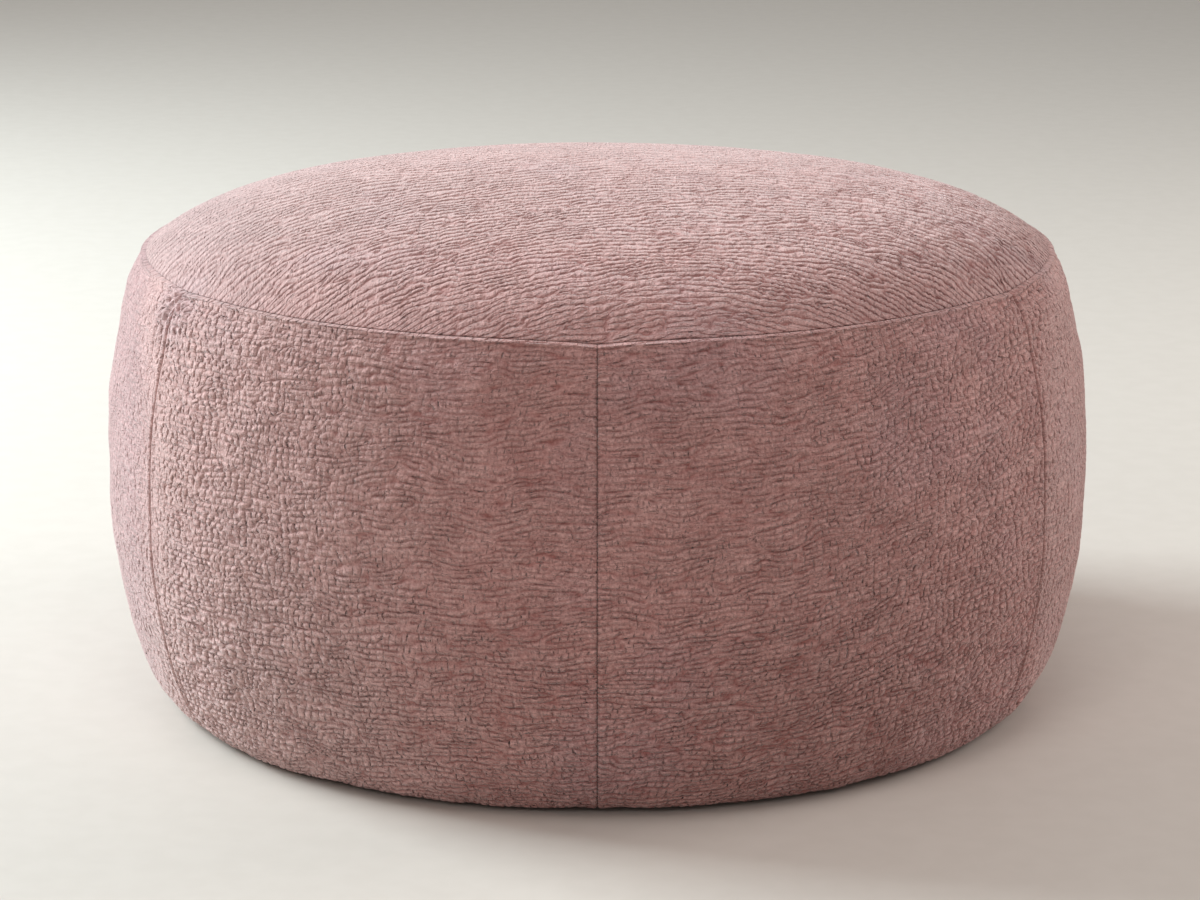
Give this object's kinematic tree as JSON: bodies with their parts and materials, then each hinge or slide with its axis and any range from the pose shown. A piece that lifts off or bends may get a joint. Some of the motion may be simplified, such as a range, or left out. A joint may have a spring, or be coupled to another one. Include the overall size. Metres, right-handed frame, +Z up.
{
  "type": "round upholstered pouf ottoman",
  "caption": "Low round drum-shaped pouf ottoman with bulged side panels, a softly crowned seamed top and a flat base, in crinkled dusty-pink chenille.",
  "frame": {"origin": "middle of the underside, on the surface the pouf stands on", "axes": "+Z up through the middle of the crown; -Y towards the front, where one upright seam faces the viewer"},
  "size_m": [0.8, 0.7966, 0.404],
  "materials": {
    "crinkle_cloth": "matt crinkled chenille with a soft short pile and a slight sheen",
    "base_cloth": "matt plain woven lining cloth"
  },
  "bodies": {
    "root": {"base_panel": "base_cloth", "side_panel_1": "crinkle_cloth", "side_panel_2": "crinkle_cloth", "side_panel_3": "crinkle_cloth", "side_panel_4": "crinkle_cloth", "side_panel_5": "crinkle_cloth", "side_panel_6": "crinkle_cloth", "top_panel": "crinkle_cloth"}
  },
  "joints": []
}
